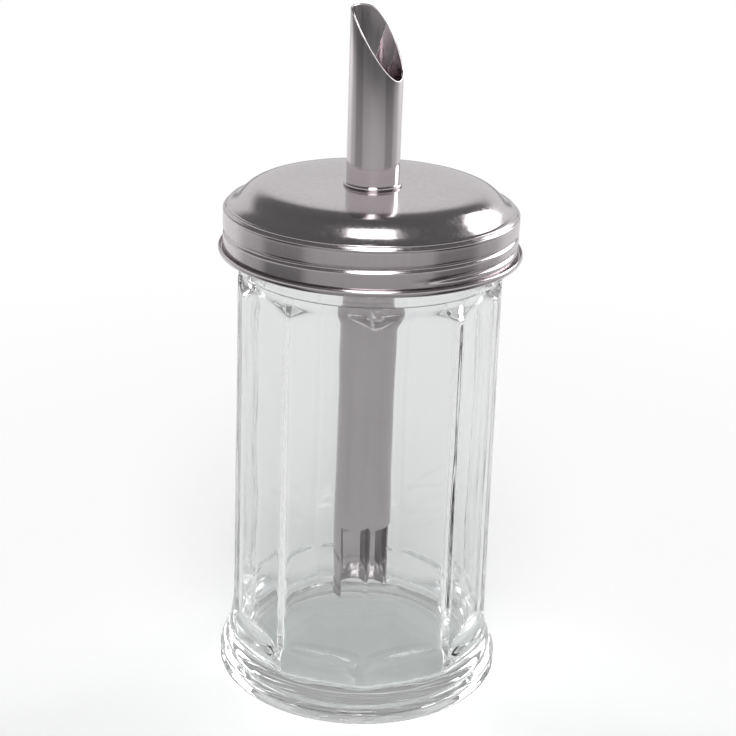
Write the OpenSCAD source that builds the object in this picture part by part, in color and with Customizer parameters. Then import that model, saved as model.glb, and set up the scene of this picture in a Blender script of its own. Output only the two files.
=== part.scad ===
// Sugar pourer: panelled glass jar, screw lid in stainless sheet and a dosing tube with a slanted mouth
// Millimetres, +Z up, origin at the centre of the foot, the viewer's side at -Y

/* [Glass jar] */
// Outside diameter of the round foot
foot_d = 74.2; // [72:0.2:78]
// Diameter over the rounded corners where the body leaves the foot
body_d = 68.2; // [66:0.2:69.6]
// Diameter over the rounded corners under the shoulder groove
body_top_d = 66.9; // [65:0.1:68]
// Number of flat panels round the body
panel_count = 9; // [8:1:12]
// How far the middle of a panel lies inside the corner circle
panel_depth = 1.7; // [1.2:0.1:2]
// Height of the foot up to its rounded ledge
foot_h = 16.8; // [14:0.2:20]
// Height of the upright band at the bottom of the foot
foot_band_h = 3.6; // [2:0.2:5]
// Height of the groove between body and neck
shoulder_z = 110.2; // [100:0.2:112]
// Height of the glass rim
rim_z = 126.0; // [125.6:0.1:126.2]
// Glass thickness in the middle of a panel, close under the shoulder
wall = 2.3; // [2:0.1:3.2]
// Thickness of the glass floor
floor_t = 5.5; // [4:0.5:7]

/* [Screw thread] */
// Rise of the thread in one turn
thread_pitch = 3.2; // [3:0.1:3.4]
// Depth of the rolled groove in the lid
groove_depth = 1.1; // [0.9:0.05:1.2]
// Radial gap between the glass crest and the lid wall
thread_gap = 0.55; // [0.45:0.05:0.65]

/* [Lid] */
// Diameter of the lid wall
lid_d = 73.6; // [72.6:0.1:75]
// How far the rolled lower edge stands out from the lid wall
curl_out = 1.2; // [1:0.05:1.4]
// Thickness of the stainless sheet
sheet = 0.45; // [0.4:0.05:0.5]
// Height of the middle of the lid top
lid_top_z = 131.5; // [131.4:0.1:133]
// Fall of the flat top from its middle to the round edge
lid_fall = 0.3; // [0.1:0.1:0.6]
// Width of the round edge, from the flat top outwards
dome_w = 10.4; // [8:0.2:12]
// Height that the full round edge would have
dome_h = 7.2; // [6:0.1:8]
// Height of the narrow step between round edge and wall
step_z = 127.2; // [127:0.1:127.6]
// Height of the underside of the rolled edge
lid_bottom_z = 114.5; // [114:0.1:114.8]

/* [Dosing tube] */
// Outside diameter of the tube
tube_d = 13.2; // [12:0.2:14]
// Wall of the tube
tube_wall = 0.5; // [0.4:0.1:0.8]
// Height of the tube's lower end
tube_bottom_z = 19.2; // [14:0.2:24]
// Height of the tip of the mouth
tube_top_z = 174.8; // [165:0.2:182]
// Angle of the slanted cut from level
mouth_angle = 55; // [45:1:60]
// Direction of the low side of the mouth, from the viewer's side to the right
mouth_turn = 60; // [0:5:90]
// Height of the side opening at the lower end
notch_h = 20.8; // [14:0.2:26]
// Direction of the side opening
notch_turn = 35; // [0:5:90]

/* [Hidden] */
$fn = 96;
steel = [0.75, 0.74, 0.75];

// jar
panel_step = 360 / panel_count;
panel_phase = 3.5;                       // one corner stands a little right of the viewer
foot_r = foot_d / 2;
body_r = body_d / 2;
top_r = body_top_d / 2;
ledge_r = body_r + 0.1;
taper = atan((body_r - top_r) / (shoulder_z - foot_h));
flat_bore_r = min(body_r, top_r) - panel_depth - wall;   // the bore is straight, so the narrow end sets it
bore_corner_r = flat_bore_r + 0.75;
bore_neck_r = flat_bore_r - 0.7;
arc_r = 2 * body_r;                      // the inner faces are arcs, half as flat as the panels

// lid and thread
skirt_r = lid_d / 2;
inner_r = skirt_r - sheet;
curl_r = (curl_out + sheet + 0.25) / 2;
crest_r = inner_r - thread_gap;
root_r = crest_r - 1.35;
neck_r = root_r - 1.2;
dome_r = skirt_r - 1.7;                  // full width of the round edge
dome_z = lid_top_z - lid_fall - dome_h;
ridge_in_r = inner_r - groove_depth;
groove_from = 15;                        // run of the lid's rolled groove, in degrees
groove_turn = 435;
groove_start_z = lid_bottom_z + thread_pitch;
ridge_from = 60;
ridge_turn = 385;
// the glass ridge lies half a pitch over the lid's groove
ridge_start_z = groove_start_z + thread_pitch * ((ridge_from - groove_from) / 360 + 0.5);

// tube
tube_r = tube_d / 2;
hole_r = tube_r + 0.03;
ring_h = 0.9;
mouth_tip_angle = 22;                    // slope of the cut where it eases off at the tip
mouth_bend = -0.52 * tube_r;             // where the easing starts

function arc(cx, cy, rx, ry, a0, a1, n) =
    [for (i = [0:n]) let (a = a0 + (a1 - a0) * i / n) [cx + rx * cos(a), cy + ry * sin(a)]];

// outline of the foot: bearing ring, upright band, hollow flare and rounded ledge
function foot_outline() = concat(
    [[0, 1.2], [foot_r - 11, 1.2]], arc(foot_r - 8, 0.9, 1.2, 0.9, 180, 270, 4),
    arc(foot_r - 0.9, 0.9, 0.9, 0.9, 270, 360, 5),
    arc(foot_r - 0.5, foot_band_h, 0.5, 0.5, 0, 60, 3),
    [for (i = [1:12]) let (t = 1 - i / 12)
        [ledge_r + (foot_r - ledge_r - 0.3) * pow(t, 1.5),
         foot_h - 0.6 - (foot_h - foot_band_h - 1.3) * t]],
    arc(ledge_r - 1.3, foot_h - 0.6, 1.3, 1.3, 15, 90, 5),
    [[ledge_r - 4, foot_h + 0.9], [0, foot_h + 0.9]]);

// a ridge or groove that climbs round the axis and fades out at both ends
// prof: points as [radius, height], closed; fade: radius that the points draw back to
module helix(prof, from, turn, z0, fade, run = 28, step = 7.5) {
    n = ceil(turn / step);
    m = len(prof);
    pts = [for (i = [0:n]) let (a = turn * i / n, s = min(1, a / run, (turn - a) / run),
               k = s * s * (3 - 2 * s))
           for (p = prof) let (r = abs(p[0] - fade) < 0.45 ? p[0] : fade + (p[0] - fade) * k)
           [r * sin(from + a), -r * cos(from + a),
            z0 + thread_pitch * a / 360 + p[1] * (0.6 + 0.4 * k)]];
    side = [for (i = [0:n - 1]) for (j = [0:m - 1]) let (k = (j + 1) % m, q = i * m)
            each [[q + j, q + k, q + m + j], [q + k, q + m + k, q + m + j]]];
    polyhedron(points = pts, faces = concat(side,
        [[for (j = [m - 1:-1:0]) j]], [[for (j = [0:m - 1]) n * m + j]]), convexity = 6);
}

module panel_cuts() {
    for (i = [0:panel_count - 1])
        rotate([0, 0, panel_phase + (i + 0.5) * panel_step - 90])
            translate([body_r - panel_depth, 0, foot_h]) rotate([0, -taper, 0])
                translate([0, -20, -14]) cube([12, 40, shoulder_z - foot_h + 20]);
}

module jar_body() {
    difference() {
        rotate_extrude() polygon(concat(
            [[0, 8], [body_r + (foot_h - 8) * tan(taper), 8]],
            arc(top_r - 1.0, shoulder_z - 1.1, 1.0, 1.1, 0, 90, 6),
            [[0, shoulder_z]]));
        panel_cuts();
    }
}

module jar_neck() {
    rotate_extrude() polygon(concat(
        [[0, shoulder_z - 1.5], [top_r - panel_depth - 0.2, shoulder_z - 1.5],
         [top_r - panel_depth - 0.2, shoulder_z]],
        arc(neck_r - 0.9, shoulder_z + 0.9, 0.9, 0.9, 270, 360, 5),
        [[neck_r, lid_bottom_z + 0.6], [root_r, lid_bottom_z + 2.0]],
        arc(root_r - 1.6, rim_z - 1.6, 1.6, 1.6, 0, 90, 6),
        [[0, rim_z]]));
}

module jar_bore() {
    intersection() {
        rotate_extrude() polygon(concat(
            [[0, floor_t]], arc(bore_corner_r - 3.2, floor_t + 3.2, 3.4, 3.2, 270, 360, 5),
            [[bore_corner_r + 0.2, shoulder_z - 6], [bore_neck_r, shoulder_z - 1],
             [bore_neck_r, rim_z + 1], [0, rim_z + 1]]));
        linear_extrude(rim_z + 2) intersection() {
            circle(r = bore_corner_r);
            intersection_for (i = [0:panel_count - 1])
                rotate(panel_phase + (i + 0.5) * panel_step - 90)
                    translate([flat_bore_r - arc_r, 0]) circle(r = arc_r);
        }
    }
}

module glass_jar() {
    color([0.85, 0.92, 0.90, 0.45])
    difference() {
        union() {
            rotate_extrude() polygon(foot_outline());
            jar_body();
            jar_neck();
            helix([[root_r - 0.4, -1.15], [crest_r - 0.35, -0.65], [crest_r, -0.28],
                   [crest_r, 0.28], [crest_r - 0.35, 0.65], [root_r - 0.4, 1.15]],
                  ridge_from, ridge_turn, ridge_start_z, root_r - 0.15);
        }
        jar_bore();
    }
}

// the sheet from the tube hole to the step, at depth t under the outer face
function dome_turn(z, t) = asin((z - dome_z) / (dome_h - t));
function dome_at(r, t) = dome_z + (dome_h - t) * sqrt(1 - pow((r - dome_r + dome_w) / (dome_w - t), 2));
function lid_path(t) = concat(
    [for (i = [0:6]) let (r = hole_r + (dome_r - dome_w - hole_r) * i / 6)
        [r, lid_top_z - t - lid_fall * pow(r / (dome_r - dome_w), 2)]],
    arc(dome_r - dome_w, dome_z, dome_w - t, dome_h - t, 81, dome_turn(step_z - t + 0.12, t), 9));

module lid_shell() {
    bead = 0.42;
    curl_c = [skirt_r + curl_out - curl_r, lid_bottom_z + curl_r];
    color(steel)
    difference() {
        union() {
            rotate_extrude() polygon(concat(lid_path(0),
                [[dome_r - 0.55, step_z], [skirt_r - 0.4, step_z]],
                arc(skirt_r - 0.12, step_z - 0.75, bead, 0.5, 75, -75, 6),
                arc(skirt_r - 0.12, step_z - 1.82, bead, 0.5, 75, -75, 6),
                [[skirt_r, curl_c[1] + 0.45], [inner_r, curl_c[1] + 0.45],
                 [inner_r, step_z - sheet - 0.2], [inner_r - 0.2, step_z - sheet]],
                [for (i = [len(lid_path(sheet)) - 1:-1:0]) lid_path(sheet)[i]]));
            // rolled edge, open where the sheet's end meets the wall
            rotate_extrude() polygon(concat(
                arc(curl_c[0], curl_c[1], curl_r, curl_r, 112, 412, 20),
                arc(curl_c[0], curl_c[1], curl_r - sheet, curl_r - sheet, 412, 112, 16)));
            helix([[inner_r + 0.25, 1.4], [ridge_in_r, 0.5], [ridge_in_r, -0.5],
                   [inner_r + 0.25, -1.4]],
                  groove_from, groove_turn, groove_start_z, inner_r + 0.15);
        }
        helix([[skirt_r + 0.4, 1.3], [skirt_r - groove_depth, 0.3],
               [skirt_r - groove_depth, -0.3], [skirt_r + 0.4, -1.3]],
              groove_from, groove_turn, groove_start_z, skirt_r + 0.1);
    }
}

// soft ring that fills the space between the glass rim and the round edge of the lid
module liner_ring() {
    in_r = bore_neck_r + 1.6;
    out_r = root_r - 1.1;
    color([0.93, 0.93, 0.90])
    rotate_extrude() polygon(concat([[in_r, rim_z + 0.05], [out_r, rim_z + 0.05]],
        [for (i = [0:6]) let (r = out_r + (in_r - out_r) * i / 6) [r, dome_at(r, sheet) - 0.2]]));
}

module dosing_tube() {
    // side view of the mouth: a straight slant that eases off towards the tip
    ease_r = (tube_r + mouth_bend) / (sin(mouth_angle) - sin(mouth_tip_angle));
    bend_z = tube_top_z - ease_r * (cos(mouth_tip_angle) - cos(mouth_angle));
    low_z = bend_z - (tube_r - mouth_bend) * tan(mouth_angle);
    color(steel)
    difference() {
        translate([0, 0, tube_bottom_z]) cylinder(r = tube_r, h = tube_top_z - tube_bottom_z);
        translate([0, 0, tube_bottom_z - 1])
            cylinder(r = tube_r - tube_wall, h = tube_top_z - tube_bottom_z + 2);
        rotate([0, 0, mouth_turn - 90]) rotate([90, 0, 0])
            translate([0, 0, -tube_r - 1]) linear_extrude(2 * tube_r + 2)
                polygon(concat([[tube_r + 3, low_z - 3 * tan(mouth_angle)]],
                    [for (i = [0:6]) let (a = mouth_angle - (mouth_angle - mouth_tip_angle) * i / 6)
                        [mouth_bend - ease_r * (sin(mouth_angle) - sin(a)),
                         bend_z + ease_r * (cos(a) - cos(mouth_angle))]],
                    [[-tube_r - 2, tube_top_z + 1], [-tube_r - 2, tube_top_z + 5],
                     [tube_r + 3, tube_top_z + 5]]));
        // side opening with rounded upper corners
        rotate([0, 0, notch_turn - 90]) rotate([90, 0, 0])
            translate([0, 0, -tube_r - 1]) linear_extrude(2 * tube_r + 2)
                polygon(concat([[tube_r + 2, tube_bottom_z - 1], [1.15, tube_bottom_z - 1]],
                    arc(1.95, tube_bottom_z + notch_h - 0.8, 0.8, 0.8, 180, 90, 5),
                    [[tube_r + 2, tube_bottom_z + notch_h]]));
    }
}

module top_collar() {
    color(steel)
    rotate_extrude() polygon(concat([[tube_r, lid_top_z]],
        arc(tube_r + 0.25, lid_top_z + ring_h / 2, 0.42, ring_h / 2, -90, 90, 8),
        [[tube_r, lid_top_z + ring_h]]));
}

module clamp_ring() {
    color(steel)
    rotate_extrude() polygon([[tube_r, lid_top_z - sheet - 1.2], [tube_r + 1.9, lid_top_z - sheet - 1.2],
        [tube_r + 2.2, lid_top_z - sheet - 0.9], [tube_r + 2.2, lid_top_z - sheet - 0.06],
        [tube_r, lid_top_z - sheet - 0.06]]);
}

glass_jar();
lid_shell();
liner_ring();
dosing_tube();
top_collar();
clamp_ring();
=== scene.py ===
# Sugar pourer: panelled glass jar, screw lid in drawn stainless sheet, slanted pouring tube.
# Metres, +Z up, the viewer stands at -Y. Angles named turn run from the viewer's side to the right.
import bpy
import math
import numpy as np
from mathutils import Matrix, Vector


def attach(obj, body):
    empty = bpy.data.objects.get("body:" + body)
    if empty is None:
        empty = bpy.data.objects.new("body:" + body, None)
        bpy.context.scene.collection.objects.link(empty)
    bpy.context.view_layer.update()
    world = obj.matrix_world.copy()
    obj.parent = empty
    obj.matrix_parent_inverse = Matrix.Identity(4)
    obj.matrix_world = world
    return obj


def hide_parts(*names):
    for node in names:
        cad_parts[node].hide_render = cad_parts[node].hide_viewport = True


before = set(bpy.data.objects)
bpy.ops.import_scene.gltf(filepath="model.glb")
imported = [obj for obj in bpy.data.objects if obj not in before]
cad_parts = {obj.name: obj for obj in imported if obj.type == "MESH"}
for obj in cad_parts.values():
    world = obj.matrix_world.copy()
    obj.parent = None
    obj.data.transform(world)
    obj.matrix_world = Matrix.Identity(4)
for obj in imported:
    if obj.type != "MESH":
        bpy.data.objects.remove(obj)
scene = bpy.context.scene
scene.view_settings.view_transform = "Standard"
# light runs many times round the foot of the jar before it leaves
scene.cycles.max_bounces = 32
scene.cycles.glossy_bounces = 20
scene.cycles.transmission_bounces = 24
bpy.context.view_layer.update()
mm = 0.001
print("frame loaded")

cameraFit = {
    "distance": 0.43642,     # from the aim point on the jar's axis
    "elevation": 20.98,      # degrees above the horizon
    "roll": 1.955,           # the photograph leans a little to the right
    "aimHeight": 0.08299,
    "lens": 83.15,           # on a sensor 36 wide
    "shift": 0.0023,
}


def placeCamera(fit):
    # looks along +Y and down, then rolls about its own axis
    tilt = math.radians(fit["elevation"])
    back = np.array([0.0, -math.cos(tilt), math.sin(tilt)])
    side = np.array([1.0, 0.0, 0.0])
    up = np.cross(back, side)
    roll = math.radians(fit["roll"])
    rolledSide = math.cos(roll) * side + math.sin(roll) * up
    rolledUp = -math.sin(roll) * side + math.cos(roll) * up
    spot = back * fit["distance"] + np.array([0.0, 0.0, fit["aimHeight"]])
    data = bpy.data.cameras.new("camera")
    data.lens = fit["lens"]
    data.sensor_width = 36
    data.shift_x = fit["shift"]
    data.clip_start = 0.01
    camera = bpy.data.objects.new("camera", data)
    scene.collection.objects.link(camera)
    rows = [[*(float(v) for v in (rolledSide[i], rolledUp[i], back[i], spot[i]))] for i in range(3)]
    camera.matrix_world = Matrix(rows + [[0.0, 0.0, 0.0, 1.0]])
    scene.camera = camera


placeCamera(cameraFit)
print("camera placed")


def smoothMax(a, b, k):
    # the larger of two arrays, with a fillet of about k where they cross
    h = np.clip(0.5 + 0.5 * (a - b) / k, 0, 1)
    return b + (a - b) * h + k * h * (1 - h)


def smoothMin(a, b, k):
    return -smoothMax(-a, -b, k)


def ellipseArc(cx, cz, rx, rz, start, end, count):
    # points (cx + rx cos t, cz + rz sin t), t in degrees from start to end
    t = np.radians(np.linspace(start, end, count))
    return np.stack([cx + rx * np.cos(t), cz + rz * np.sin(t)], -1)


def ringMesh(name, radius, height, turn, ends="poles", sharp=40):
    # rows run along a section, columns run round the axis: point = (r sin turn, -r cos turn, z)
    # ends "poles" closes both ends on the axis, "loop" joins the last row to the first
    rows, columns = radius.shape
    turn = np.broadcast_to(turn, radius.shape)
    grid = np.stack([radius * np.sin(turn), -radius * np.cos(turn), height], -1).reshape(-1, 3) * mm
    count = rows if ends == "loop" else rows - 1
    i = np.arange(count)[:, None]
    j = np.arange(columns)[None, :]
    nextI, nextJ = (i + 1) % rows, (j + 1) % columns
    quads = np.stack([i * columns + j, i * columns + nextJ, nextI * columns + nextJ, nextI * columns + j],
                     -1).reshape(-1, 4)
    loops = [quads.ravel()]
    sizes = np.full(len(quads), 4)
    if ends == "poles":
        first, last = len(grid), len(grid) + 1
        poles = np.array([[0, 0, height[0].mean()], [0, 0, height[-1].mean()]]) * mm
        grid = np.concatenate([grid, poles])
        a, b = np.arange(columns), (np.arange(columns) + 1) % columns
        base = (rows - 1) * columns
        loops.append(np.stack([b, a, np.full(columns, first)], -1).ravel())
        loops.append(np.stack([base + a, base + b, np.full(columns, last)], -1).ravel())
        sizes = np.concatenate([sizes, np.full(2 * columns, 3)])
    loops = np.concatenate(loops).astype(np.int32)
    mesh = bpy.data.meshes.new(name)
    mesh.vertices.add(len(grid))
    mesh.vertices.foreach_set("co", grid.astype(np.float32).ravel())
    mesh.loops.add(len(loops))
    mesh.loops.foreach_set("vertex_index", loops)
    mesh.polygons.add(len(sizes))
    mesh.polygons.foreach_set("loop_start", np.concatenate([[0], np.cumsum(sizes)[:-1]]).astype(np.int32))
    mesh.update(calc_edges=True)
    mesh.validate()
    if signedVolume(mesh) < 0:
        mesh.flip_normals()
    mesh.shade_smooth()
    mesh.set_sharp_from_angle(angle=math.radians(sharp))
    piece = bpy.data.objects.new(name, mesh)
    scene.collection.objects.link(piece)
    return piece


def signedVolume(mesh):
    # sum of the tetrahedra from the origin to each triangle
    mesh.calc_loop_triangles()
    corners = np.empty(len(mesh.loop_triangles) * 3, np.int32)
    mesh.loop_triangles.foreach_get("vertices", corners)
    points = np.empty(len(mesh.vertices) * 3, np.float32)
    mesh.vertices.foreach_get("co", points)
    p = points.reshape(-1, 3)[corners.reshape(-1, 3)].astype(float)
    return float(np.einsum("ij,ij->i", p[:, 0], np.cross(p[:, 1], p[:, 2])).sum() / 6)


jarSizes = {
    "footR": 37.1, "bandTop": 3.6, "footTop": 16.8,
    "bodyR": 34.0, "topR": 33.4, "panels": 9, "panelDepth": 1.95, "phase": 3.5,
    "ledgeMid": 13.6, "ledgeWide": 2.6, "ledgeHigh": 3.9,
    "shoulder": 110.2, "neckR": 33.25, "rootR": 34.45, "crestR": 35.8, "rim": 126.0,
    "flatBoreR": 29.45, "boreCornerR": 31.0, "boreNeckR": 28.75, "floor": 5.5,
    "recess": 1.2, "footEdge": 0.9, "rimRound": 1.6, "floorRound": 3.2, "arcShare": 5,
    "cornerSoft": 0.22, "ledgeSoft": 0.25, "boreSoft": 0.5, "wave": 0.035,
    "threadPitch": 3.2, "ridgeFrom": 60, "ridgeTurn": 385, "ridgeStart": 119.7, "ridgeFade": 28,
}


def climb(turnDeg, z, start, length, z0, pitch, fade, shape):
    # strength of a helical ridge or groove at each point, 0 to 1, from the nearest of its passes
    best = np.zeros(np.broadcast(turnDeg, z).shape)
    for lap in (0, 1):
        along = np.mod(turnDeg - start, 360) + 360 * lap
        inside = np.clip(np.minimum(along, length - along) / fade, 0, 1)
        best = np.maximum(best, inside * inside * (3 - 2 * inside) * shape(z - z0 - pitch * along / 360))
    return best


def makeJar(s):
    step = 360 / s["panels"]
    # columns sit closer together at the rounded corners of the panels
    u = (np.arange(36) + 0.5) / 36 * 2 - 1
    inPanel = 0.5 * step * (0.55 * u + 0.45 * np.sign(u) * (1 - (1 - np.abs(u)) ** 2.2))
    turnDeg = np.concatenate([s["phase"] + (k + 0.5) * step + inPanel for k in range(s["panels"])])
    offMiddle = np.radians(np.tile(inPanel, s["panels"]))[None, :]
    turn = np.radians(turnDeg)[None, :]
    taper = (s["bodyR"] - s["topR"]) / (s["shoulder"] - s["footTop"])
    ledgeR, ledgeZ = s["bodyR"] + 0.15, s["ledgeMid"]

    def body(z, corner):
        flat = (s["bodyR"] - s["panelDepth"] - (z - s["footTop"]) * taper) / np.cos(offMiddle)
        return smoothMin(corner, flat, s["cornerSoft"])

    def rows(profile):
        ones = np.ones_like(turn)
        return profile[:, :1] * ones, profile[:, 1:] * ones

    parts = []
    recess, edge = s["recess"], s["footEdge"]
    under = np.concatenate([[[6, recess], [14, recess], [21, recess], [26.1, recess]],
                            ellipseArc(s["footR"] - 8, edge, recess, edge, 180, 270, 8),
                            [[31, 0], [33.6, 0]],
                            ellipseArc(s["footR"] - edge, edge, edge, edge, 270, 360, 9),
                            [[s["footR"], 1.8], [s["footR"], 2.7]],
                            ellipseArc(s["footR"] - 0.5, s["bandTop"], 0.5, 0.5, 0, 60, 6)])
    parts.append(rows(under))
    t = np.linspace(0.97, 0.04, 20)
    flare = np.stack([ledgeR + (s["footR"] - ledgeR - 0.3) * t ** 1.5,
                      ledgeZ - (ledgeZ - s["bandTop"] - 0.7) * t], -1)
    parts.append(rows(flare))
    # ledge: the circle of the foot closes over while the panels come out of it
    z = (ledgeZ + s["ledgeHigh"] * np.sin(np.radians(np.linspace(1, 90, 44))))[:, None]
    foot = ledgeR - s["ledgeWide"] * (1 - np.sqrt(np.clip(1 - ((z - ledgeZ) / s["ledgeHigh"]) ** 2, 0, 1)))
    corner = s["bodyR"] - (z - s["footTop"]) * taper
    ledge = smoothMax(foot, body(z, corner), s["ledgeSoft"])
    parts.append((ledge, z * np.ones_like(turn)))
    # body
    z = np.linspace(ledgeZ + s["ledgeHigh"] + 0.3, s["shoulder"] - 1.2, 36)[:, None]
    corner = s["bodyR"] - (z - s["footTop"]) * taper
    wave = s["wave"] * (np.sin(0.21 * z + 3 * turn) * np.sin(2 * turn + 0.06 * z + 1)
                        + 0.6 * np.sin(0.11 * z - 5 * turn + 2))
    parts.append((body(z, corner) + wave, z * np.ones_like(turn)))
    top = ellipseArc(s["topR"] - 1, s["shoulder"] - 1.1, 1, 1.1, 4, 86, 12)
    z = top[:, 1:]
    parts.append((body(z, top[:, :1]), z * np.ones_like(turn)))
    neck = np.concatenate([[[s["topR"] - s["panelDepth"] - 0.1, s["shoulder"] + 0.02]],
                           ellipseArc(s["neckR"] - 0.9, s["shoulder"] + 0.95, 0.9, 0.9, 272, 360, 10),
                           [[s["neckR"], s["shoulder"] + 2.6], [s["neckR"], s["shoulder"] + 4.4],
                            [s["neckR"] + 0.5, s["shoulder"] + 5.2], [s["rootR"] - 0.3, s["shoulder"] + 5.8],
                            [s["rootR"], s["shoulder"] + 6.3]]])
    parts.append(rows(neck))
    z = np.linspace(s["shoulder"] + 6.8, s["rim"] - 1.7, 36)[:, None]
    ridge = climb(turnDeg[None, :], z, s["ridgeFrom"], s["ridgeTurn"], s["ridgeStart"], s["threadPitch"],
                  s["ridgeFade"],
                  lambda d: np.clip(1.35 - np.abs(d) / 0.62, 0, 1) ** 0.8)
    parts.append((s["rootR"] + (s["crestR"] - s["rootR"]) * ridge, z * np.ones_like(turn)))
    soft = s["rimRound"]
    rim = np.concatenate([ellipseArc(s["rootR"] - soft, s["rim"] - soft, soft, soft, 4, 90, 10),
                          [[31, s["rim"]]],
                          ellipseArc(s["boreNeckR"] + 0.9, s["rim"] - 0.9, 0.9, 0.9, 90, 180, 8),
                          [[s["boreNeckR"], s["rim"] - 6], [s["boreNeckR"], s["rim"] - 12],
                           [s["boreNeckR"], s["shoulder"] - 0.6]],
                          [[s["boreNeckR"] + 0.15, s["shoulder"] - 1.8]]])
    parts.append(rows(rim))

    # bore: the inner faces are flat arcs that meet in soft corners
    arcR = s["arcShare"] * s["bodyR"]
    arcC = s["flatBoreR"] - arcR
    arcs = arcC * np.cos(offMiddle) + np.sqrt(arcR ** 2 - (arcC * np.sin(offMiddle)) ** 2)
    across = smoothMin(arcs, s["boreCornerR"] * np.ones_like(turn), s["boreSoft"])
    z = np.linspace(s["shoulder"] - 2.6, s["shoulder"] - 7.5, 8)[:, None]
    slope = s["boreNeckR"] + 0.3 + (s["boreCornerR"] - s["boreNeckR"]) * (s["shoulder"] - 2.6 - z) / 4.2
    parts.append((smoothMin(slope * np.ones_like(turn), across, s["boreSoft"]), z * np.ones_like(turn)))
    z = np.linspace(s["shoulder"] - 9, s["floor"] + 4.2, 30)[:, None]
    wave = 1.4 * s["wave"] * (np.sin(0.16 * z + 2 * turn + 1) + 0.7 * np.sin(0.09 * z - 4 * turn))
    parts.append((across + wave, z * np.ones_like(turn)))
    soft = s["floorRound"]
    bend = ellipseArc(0, s["floor"] + soft, soft, soft, 0, -90, 16)
    parts.append((across - soft + bend[:, :1], bend[:, 1:] * np.ones_like(turn)))
    share = np.linspace(0.97, 0.06, 12)[:, None]
    parts.append(((across - soft) * share, s["floor"] * np.ones_like(share) * np.ones_like(turn)))

    radius = np.concatenate([p[0] for p in parts])
    height = np.concatenate([p[1] for p in parts])
    return ringMesh("jarGlass", radius, height, turn, "poles", 50)


jarGlass = makeJar(jarSizes)
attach(jarGlass, "jar")
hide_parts("glass_jar")
print("jar made", len(jarGlass.data.polygons))

lidSizes = {
    "wallR": 36.8, "sheet": 0.45, "curlOut": 1.2, "bottom": 114.5, "columns": 400,
    # top: level at the tube, a slight crown, a soft bend into a slope, which runs out at the fine beads
    "holeR": 6.63, "seat": 131.5, "crown": 0.1, "crownR": 23.0, "bendR": 31.03, "bendSoft": 1.6, "slope": 1.418,
    "edgeR": 35.02, "runOutR": 33.7, "runOutSoft": 0.35, "runOut": 0.61,
    "beads": [(35.6, 126.22), (36.42, 125.36)], "beadR": 0.36,
    "grooveDepth": 0.62, "grooveFrom": 15, "grooveTurn": 435, "grooveStart": 117.7, "pitch": 3.2,
    "grooveWidth": 0.85, "grooveFade": 24,
}


def softSlope(x, soft):
    # level, then a rise of 1 in 1, with a bend between them: soft * ln(1 + e ^ (x / soft))
    return soft * np.log1p(np.exp(x / soft))


def domeHeight(r, s):
    # seat + crown - slope * (soft slope from bendR) + runOut * (soft slope from runOutR)
    t = np.clip((r - s["holeR"]) / (s["crownR"] - s["holeR"]), 0, 1)
    return (s["seat"] + s["crown"] * t * t * (3 - 2 * t)
            - s["slope"] * softSlope(r - s["bendR"], s["bendSoft"])
            + s["runOut"] * softSlope(r - s["runOutR"], s["runOutSoft"]))


def setIn(path, depth):
    # the same section moved in by the thickness of the sheet
    slope = np.gradient(path, axis=0)
    slope /= np.linalg.norm(slope, axis=1)[:, None]
    return path + depth * np.stack([slope[:, 1], -slope[:, 0]], -1)


def makeLid(s):
    wallIn = s["wallR"] - s["sheet"]
    curlR = (s["curlOut"] + s["sheet"] + 0.25) / 2
    curlC = (s["wallR"] + s["curlOut"] - curlR, s["bottom"] + curlR)
    # rows lie closer together over the bend
    r = np.concatenate([np.linspace(s["holeR"], s["crownR"] + 2, 11),
                        np.linspace(s["crownR"] + 2.5, s["edgeR"], 33)])
    outer = np.stack([r, domeHeight(r, s)], -1)
    beads = np.concatenate([ellipseArc(*centre, s["beadR"], s["beadR"], 118, -28, 11) for centre in s["beads"]])
    stepPath = np.array([[s["wallR"], s["beads"][1][1] - 0.55]])
    wallTop, wallEnd = s["beads"][1][1] - 0.9, curlC[1] + 0.75
    z = np.linspace(wallTop, wallEnd, 44)
    wall = np.stack([np.full_like(z, s["wallR"]), z], -1)
    rollIn = ellipseArc(curlC[0], curlC[1], curlR - s["sheet"], curlR - s["sheet"], 150, 412, 22)
    rollOut = ellipseArc(curlC[0], curlC[1], curlR, curlR, 412, 165, 26)
    wallBack = np.stack([np.full_like(z, wallIn), z], -1)[::-1]
    under = np.concatenate([[[wallIn, s["beads"][1][1] - 0.7], [wallIn - 0.3, s["beads"][1][1] - 0.1],
                             [outer[-1, 0] - 0.05, outer[-1, 1] - 0.62]], setIn(outer, s["sheet"])[::-1][2:]])
    path = np.concatenate([outer, beads, stepPath, wall, rollIn, rollOut, wallBack, under])
    kind = np.concatenate([np.zeros(len(outer) + len(stepPath) + len(beads)), np.ones(len(wall)),
                           np.zeros(len(rollIn) + len(rollOut)), np.ones(len(wallBack)), np.zeros(len(under))])
    turnDeg = np.arange(s["columns"])[None, :] * 360 / s["columns"]
    turn = np.radians(turnDeg)
    radius = path[:, :1] * np.ones_like(turn)
    height = path[:, 1:] * np.ones_like(turn)
    groove = climb(turnDeg, height, s["grooveFrom"], s["grooveTurn"], s["grooveStart"], s["pitch"],
                   s["grooveFade"],
                   lambda d: 0.5 + 0.5 * np.cos(np.pi * np.clip(d / s["grooveWidth"], -1, 1)))
    radius = radius - s["grooveDepth"] * groove * kind[:, None]
    return ringMesh("lidSheet", radius, height, turn, "loop", 60)


lidSheet = makeLid(lidSizes)
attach(lidSheet, "lid")
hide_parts("lid_shell")
print("lid made", len(lidSheet.data.polygons))

tubeSizes = {
    "r": 6.6, "wall": 0.5, "bottom": 19.2, "top": 174.8, "angle": 55, "tipAngle": 22, "turn": 60, "bulge": 1.2,
    "notchH": 20.8, "notchTurn": 35, "notchSide": 1.15, "notchRound": 0.8, "rimRound": 0.16,
}


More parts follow.
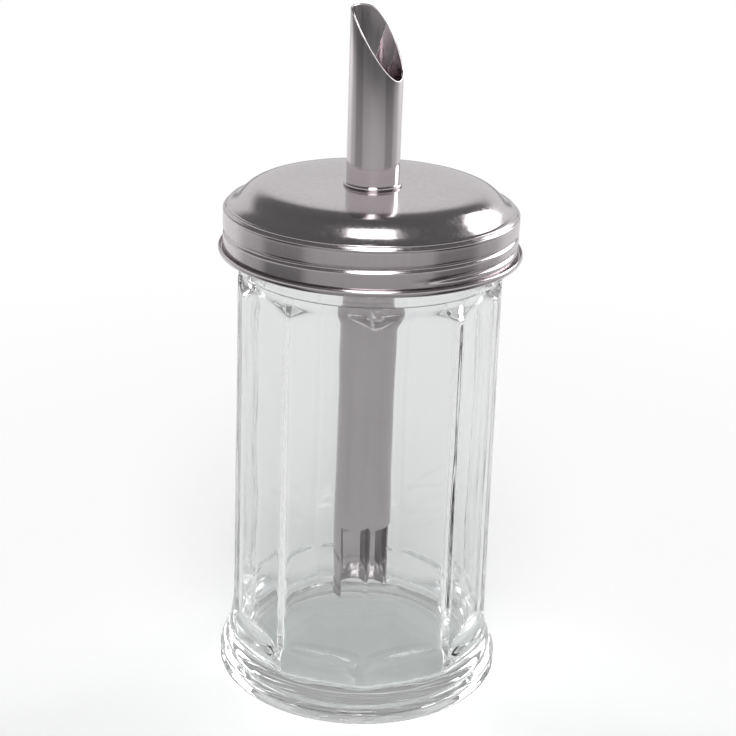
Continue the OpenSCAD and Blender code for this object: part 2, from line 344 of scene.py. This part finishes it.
def makeTube(s):
    # columns: even, with pairs at the two upright edges of the side opening
    edge = math.degrees(math.acos(s["notchSide"] / s["r"]))
    marks = [s["notchTurn"] - edge, s["notchTurn"] + edge]
    fine = np.concatenate([m + side * np.array([0.02, 0.6, 1.4, 2.4, 3.6, 5.0, 7.0])
                           for m, side in zip(marks, (1, -1))] + [np.array(marks) + [-0.02, 0.02]])
    even = np.arange(0, 360, 2.5)
    far = np.min(np.abs((even[:, None] - fine[None, :] + 180) % 360 - 180), 1) > 0.9
    turnDeg = np.sort(np.mod(np.concatenate([even[far], fine]), 360))
    turn = np.radians(turnDeg)

    def mouth(r):
        # height of the cut over a point that lies x towards the low side
        bend = -0.52 * s["r"]
        a, tip = math.radians(s["angle"]), math.radians(s["tipAngle"])
        ease = (s["r"] + bend) / (math.sin(a) - math.sin(tip))
        bendZ = s["top"] - ease * (math.cos(tip) - math.cos(a))
        x = r * np.cos(turn - math.radians(s["turn"]))
        sine = np.clip(math.sin(a) - (bend - x) / ease, -1, 1)
        cut = np.where(x > bend, bendZ - (x - bend) * math.tan(a),
                       bendZ + ease * (np.sqrt(1 - sine ** 2) - math.cos(a)))
        return cut + s["bulge"] * (1 - (x / s["r"]) ** 2)

    def lower():
        inNotch = s["r"] * np.cos(turn - math.radians(s["notchTurn"])) - s["notchSide"]
        d = np.clip(inNotch / s["notchRound"], 0, 1)
        lift = s["notchH"] - s["notchRound"] * (1 - np.sqrt(1 - (1 - d) ** 2))
        return s["bottom"] + np.where(inNotch > 0, lift, 0)

    rOut, rIn, soft = s["r"], s["r"] - s["wall"], s["rimRound"]
    low, high = lower(), mouth(s["r"])
    level = 0 * low
    foot, firstRow = low + soft, np.maximum(low + soft, 45.0)
    rows = [(rOut, foot), (rOut, firstRow), (rOut, level + 90.0), (rOut, level + 140.0),
            (rOut, high - 2 * soft), (rOut - 0.02, high - soft), (rOut - 0.5 * soft, high - 0.3 * soft),
            (rOut - 1.1 * soft, high + 0.01), (rIn + 1.1 * soft, high + 0.01),
            (rIn + 0.5 * soft, high - 0.3 * soft), (rIn + 0.02, high - soft), (rIn, high - 2 * soft),
            (rIn, level + 140.0), (rIn, level + 90.0), (rIn, firstRow), (rIn, foot),
            (rIn + soft, low), (rOut - soft, low)]
    radius = np.stack([np.full_like(turn, row[0]) for row in rows])
    height = np.stack([row[1] for row in rows])
    return ringMesh("pouringTube", radius, height, turn[None, :], "loop", 42)


pouringTube = makeTube(tubeSizes)
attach(pouringTube, "lid")
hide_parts("dosing_tube")

collarSizes = {"r": 6.6, "z": 131.5, "height": 0.9, "out": 0.62, "columns": 180}


def makeCollar(s):
    # bead of sheet, turned about the axis
    section = np.concatenate([ellipseArc(s["r"] + 0.25, s["z"] + s["height"] / 2, s["out"] - 0.2,
                                         s["height"] / 2, -90, 90, 20),
                              [[s["r"], s["z"] + s["height"] - 0.06], [s["r"], s["z"] + 0.02]]])
    turn = np.radians(np.arange(s["columns"]) * 360 / s["columns"])[None, :]
    return ringMesh("tubeCollar", section[:, :1] * np.ones_like(turn), section[:, 1:] * np.ones_like(turn),
                    turn, "loop", 60)


tubeCollar = makeCollar(collarSizes)
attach(tubeCollar, "lid")
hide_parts("top_collar")
print("tube made")


def newMaterial(name):
    material = bpy.data.materials.new(name)
    material.use_nodes = True
    nodes, links = material.node_tree.nodes, material.node_tree.links
    shader = nodes["Principled BSDF"]
    return material, nodes, links, shader


def objectNoise(nodes, links, stretch, scale, detail):
    place = nodes.new("ShaderNodeTexCoord")
    mapping = nodes.new("ShaderNodeMapping")
    mapping.inputs["Scale"].default_value = stretch
    noise = nodes.new("ShaderNodeTexNoise")
    noise.inputs["Scale"].default_value = scale
    noise.inputs["Detail"].default_value = detail
    links.new(place.outputs["Object"], mapping.inputs["Vector"])
    links.new(mapping.outputs["Vector"], noise.inputs["Vector"])
    return noise


def ramp(nodes, links, source, low, high, start=0.3, end=0.7):
    node = nodes.new("ShaderNodeMapRange")
    node.inputs["From Min"].default_value = start
    node.inputs["From Max"].default_value = end
    node.inputs["To Min"].default_value = low
    node.inputs["To Max"].default_value = high
    links.new(source, node.inputs["Value"])
    return node.outputs["Result"]


def connect(links, source, socket):
    # a socket is linked, a value is set
    if isinstance(source, bpy.types.NodeSocket):
        links.new(source, socket)
    else:
        socket.default_value = source


def mixColours(nodes, links, share, first, second):
    node = nodes.new("ShaderNodeMix")
    node.data_type = "RGBA"
    connect(links, share, node.inputs["Factor"])
    connect(links, first, node.inputs["A"])
    connect(links, second, node.inputs["B"])
    return node.outputs["Result"]


def calculate(nodes, links, operation, *values):
    node = nodes.new("ShaderNodeMath")
    node.operation = operation
    for number, value in enumerate(values):
        connect(links, value, node.inputs[number])
    return node.outputs["Value"]


def axes(nodes, links, kind="Object"):
    place = nodes.new("ShaderNodeTexCoord")
    split = nodes.new("ShaderNodeSeparateXYZ")
    links.new(place.outputs[kind], split.inputs[0])
    return place.outputs[kind], split.outputs


def mixShaders(nodes, links, share, first, second, out):
    mix = nodes.new("ShaderNodeMixShader")
    links.new(share, mix.inputs["Fac"])
    links.new(first, mix.inputs[1])
    links.new(second, mix.inputs[2])
    links.new(mix.outputs["Shader"], out.inputs["Surface"])


def roughen(nodes, links, shader, height, strength, distance):
    bump = nodes.new("ShaderNodeBump")
    bump.inputs["Strength"].default_value = strength
    bump.inputs["Distance"].default_value = distance
    links.new(height, bump.inputs["Height"])
    links.new(bump.outputs["Normal"], shader.inputs["Normal"])


def steelFinish(name, look):
    material, nodes, links, shader = newMaterial(name)
    shader.inputs["Metallic"].default_value = 1.0
    fine = objectNoise(nodes, links, look["stretch"], look["streaks"], 4).outputs["Fac"]
    cloud = objectNoise(nodes, links, (1, 1, 1), look["clouds"], 3).outputs["Fac"]
    colour = mixColours(nodes, links, cloud, (*look["dark"], 1), (*look["light"], 1))
    # painted shade: the colour is darker below the lid, standing in for the dimming of the tube seen through
    # the glass
    height = axes(nodes, links)[1]["Z"]
    paintedShadeScale = ramp(nodes, links, height, look["paintedShadeInJar"], 1, *look["paintedShadeHeights"])
    paintedShadeColour = nodes.new("ShaderNodeVectorMath")
    paintedShadeColour.operation = "SCALE"
    links.new(colour, paintedShadeColour.inputs[0])
    links.new(paintedShadeScale, paintedShadeColour.inputs["Scale"])
    links.new(paintedShadeColour.outputs["Vector"], shader.inputs["Base Color"])
    links.new(ramp(nodes, links, fine, *look["roughness"]), shader.inputs["Roughness"])
    roughen(nodes, links, shader, fine, look["bump"], look["bumpHeight"])
    return material


steelTone = {"dark": (0.58, 0.542, 0.555), "light": (0.64, 0.60, 0.615), "clouds": 60,
             "bumpHeight": 0.00002, "paintedShadeHeights": (0.112, 0.126)}
# painted shade: the in-jar share scales the steel colour below the given heights; 1.0 on the lid changes
# nothing, 0.62 darkens the tube as if seen through glass
lidLook = {**steelTone, "stretch": (1, 1, 0.12), "streaks": 900, "roughness": (0.12, 0.21), "bump": 0.10,
           "paintedShadeInJar": 1.0}
tubeLook = {**steelTone, "stretch": (1, 1, 0.05), "streaks": 1200, "roughness": (0.06, 0.13), "bump": 0.08,
            "paintedShadeInJar": 0.62}
glassLook = {"tint": (0.985, 0.99, 0.992), "ior": 1.5, "waves": 0.12, "waveScale": 90, "waveHeight": 0.0004,
             "shadowTint": (0.86, 0.88, 0.87)}
linerLook = {"dark": (0.80, 0.80, 0.76), "light": (0.87, 0.87, 0.84), "mottle": 300, "roughness": (0.42, 0.60),
             "soft": 0.15, "softReach": (0.002, 0.002, 0.0015)}


def glassFinish(name, look):
    material, nodes, links, shader = newMaterial(name)
    shader.inputs["Base Color"].default_value = (*look["tint"], 1)
    shader.inputs["Transmission Weight"].default_value = 1.0
    shader.inputs["Roughness"].default_value = 0.0
    shader.inputs["IOR"].default_value = look["ior"]
    wave = objectNoise(nodes, links, (1, 1, 0.4), look["waveScale"], 2).outputs["Fac"]
    roughen(nodes, links, shader, wave, look["waves"], look["waveHeight"])
    # lamps reach what stands behind the glass
    clear = nodes.new("ShaderNodeBsdfTransparent")
    clear.inputs["Color"].default_value = (*look["shadowTint"], 1)
    path = nodes.new("ShaderNodeLightPath")
    mixShaders(nodes, links, path.outputs["Is Shadow Ray"], shader.outputs["BSDF"], clear.outputs["BSDF"],
               nodes["Material Output"])
    return material


def linerFinish(name, look):
    material, nodes, links, shader = newMaterial(name)
    mottle = objectNoise(nodes, links, (1, 1, 1), look["mottle"], 4).outputs["Fac"]
    colour = mixColours(nodes, links, mottle, (*look["dark"], 1), (*look["light"], 1))
    links.new(colour, shader.inputs["Base Color"])
    links.new(ramp(nodes, links, mottle, *look["roughness"]), shader.inputs["Roughness"])
    shader.inputs["Subsurface Weight"].default_value = look["soft"]
    shader.inputs["Subsurface Radius"].default_value = look["softReach"]
    return material


def dress(piece, material):
    piece.data.materials.clear()
    piece.data.materials.append(material)


def dressNode(piece, material):
    for slot in piece.material_slots:
        slot.link = "OBJECT"
        slot.material = material


lidSteel = steelFinish("lidSteel", lidLook)
tubeSteel = steelFinish("tubeSteel", tubeLook)
clearGlass = glassFinish("clearGlass", glassLook)
linerPlastic = linerFinish("linerPlastic", linerLook)
dress(jarGlass, clearGlass)
dress(lidSheet, lidSteel)
dress(pouringTube, tubeSteel)
dress(tubeCollar, tubeSteel)
dressNode(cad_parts["clamp_ring"], tubeSteel)
dressNode(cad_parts["liner_ring"], linerPlastic)
print("materials made")

studio = {
    "floorSize": 3.0, "floorDrop": 0.0001, "whiteFrom": 0.10, "whiteTo": 0.34, "paper": 0.97,
    # greys of the floor in reflections: by direction from the viewer's side (0) to the far side (1)
    "around": [(0.0, 0.36), (0.25, 0.36), (0.29, 0.06), (0.45, 0.05), (0.50, 0.36), (0.60, 0.44), (0.68, 0.86),
               (1.0, 0.88)],
    "farAway": 0.86, "farShare": 0.42, "farReach": (0.36, 0.46),
    # greys of the floor seen through the glass: a painted shadow under the jar, and the plain grey beyond it
    "paintedShadowUnderGlass": 0.43, "throughGlass": 0.82, "paintedShadowReach": (0.03, 0.045),
    # greys of the room by height, from the horizon (0) to straight above (1)
    "skyThroughGlass": [(0.0, 0.75), (0.30, 0.60), (0.50, 0.30), (0.75, 0.34), (1.0, 0.40)],
    "sky": [(0.0, 0.30), (0.04, 0.80), (0.34, 0.78), (0.46, 0.16), (1.0, 0.12)],
    "unseenLamp": "leftBox",      # lights the floor, but isn't mirrored in the steel
    "lampAim": (0, 0, 0.08),
    "lamps": [
        # name, place, size x, size y, strength in watts
        ("frontBox", (0.02, -0.66, 1.02), 0.5, 1.0, 7.0),
        ("leftBox", (-1.0, 0.75, 0.75), 0.6, 0.8, 9.0),
        ("rightBox", (1.0, 0.75, 0.75), 0.6, 0.8, 8.0),
    ],
}


def floorTones(nodes, links, s):
    # grey by direction round the jar, evening out far away, and the distance from the jar's axis
    place, split = axes(nodes, links)
    sides = calculate(nodes, links, "ABSOLUTE", split["X"])
    front = calculate(nodes, links, "MULTIPLY", split["Y"], -1)
    angle = calculate(nodes, links, "ARCTAN2", sides, front)
    grey = greyRamp(nodes, links, ramp(nodes, links, angle, 0, 1, 0, math.pi), s["around"])
    reach = nodes.new("ShaderNodeVectorMath")
    reach.operation = "LENGTH"
    links.new(place, reach.inputs[0])
    distance = reach.outputs["Value"]
    far = ramp(nodes, links, distance, 0, s["farShare"], *s["farReach"])
    return mixColours(nodes, links, far, grey, (s["farAway"],) * 3 + (1,)), distance


def greyRamp(nodes, links, source, stops):
    node = nodes.new("ShaderNodeValToRGB")
    made = node.color_ramp.elements
    made[0].position, made[0].color = stops[0][0], (stops[0][1],) * 3 + (1,)
    made[1].position, made[1].color = stops[-1][0], (stops[-1][1],) * 3 + (1,)
    for where, grey in stops[1:-1]:
        stop = made.new(where)
        stop.color = (grey,) * 3 + (1,)
    links.new(source, node.inputs["Fac"])
    return node.outputs["Color"]


def makeFloor(s):
    half, drop = s["floorSize"], -s["floorDrop"]
    mesh = bpy.data.meshes.new("floor")
    corners = [(-half, -half, drop), (half, -half, drop), (half, half, drop), (-half, half, drop)]
    mesh.from_pydata(corners, [], [(0, 1, 2, 3)])
    floor = bpy.data.objects.new("floor", mesh)
    scene.collection.objects.link(floor)
    material = bpy.data.materials.new("floorPaper")
    material.use_nodes = True
    nodes, links = material.node_tree.nodes, material.node_tree.links
    nodes.clear()
    out = nodes.new("ShaderNodeOutputMaterial")
    paper = nodes.new("ShaderNodeBsdfDiffuse")
    white = nodes.new("ShaderNodeEmission")
    path = nodes.new("ShaderNodeLightPath").outputs
    mirrored, distance = floorTones(nodes, links, s)
    # painted shadow: the floor seen through the glass darkens towards the jar's axis
    throughGlass = ramp(nodes, links, distance, s["paintedShadowUnderGlass"], s["throughGlass"], *s["paintedShadowReach"])
    unseen = mixColours(nodes, links, path["Is Transmission Ray"], mirrored, throughGlass)
    tone = mixColours(nodes, links, path["Is Camera Ray"], unseen, (s["paper"],) * 3 + (1,))
    links.new(tone, paper.inputs["Color"])
    # the camera sees the floor turn plain white away from the jar
    fade = ramp(nodes, links, distance, 0.0, 1.0, s["whiteFrom"], s["whiteTo"])
    seen = calculate(nodes, links, "MULTIPLY", fade, path["Is Camera Ray"])
    mixShaders(nodes, links, seen, paper.outputs["BSDF"], white.outputs["Emission"], out)
    mesh.materials.append(material)


def makeLamps(s):
    for name, spot, sizeX, sizeY, power in s["lamps"]:
        data = bpy.data.lights.new(name, "AREA")
        data.shape = "RECTANGLE"
        data.size, data.size_y, data.energy = sizeX, sizeY, power
        lamp = bpy.data.objects.new(name, data)
        scene.collection.objects.link(lamp)
        lamp.location = spot
        lamp.visible_glossy = name != s["unseenLamp"]
        aim = Vector(s["lampAim"]) - lamp.location
        lamp.rotation_euler = aim.to_track_quat("-Z", "Y").to_euler()


def makeRoom(s):
    world = bpy.data.worlds.new("studio")
    scene.world = world
    world.use_nodes = True
    nodes, links = world.node_tree.nodes, world.node_tree.links
    nodes.clear()
    out = nodes.new("ShaderNodeOutputWorld")
    seenSky = nodes.new("ShaderNodeBackground")
    seenSky.inputs["Color"].default_value = (1, 1, 1, 1)
    room = nodes.new("ShaderNodeBackground")
    path = nodes.new("ShaderNodeLightPath").outputs
    height = axes(nodes, links, "Generated")[1]["Z"]
    mirrored = greyRamp(nodes, links, height, s["sky"])
    throughGlass = greyRamp(nodes, links, height, s["skyThroughGlass"])
    tone = mixColours(nodes, links, path["Is Transmission Ray"], mirrored, throughGlass)
    links.new(tone, room.inputs["Color"])
    mixShaders(nodes, links, path["Is Camera Ray"], room.outputs["Background"], seenSky.outputs["Background"],
               out)


makeFloor(studio)
makeLamps(studio)
makeRoom(studio)
print("studio made")
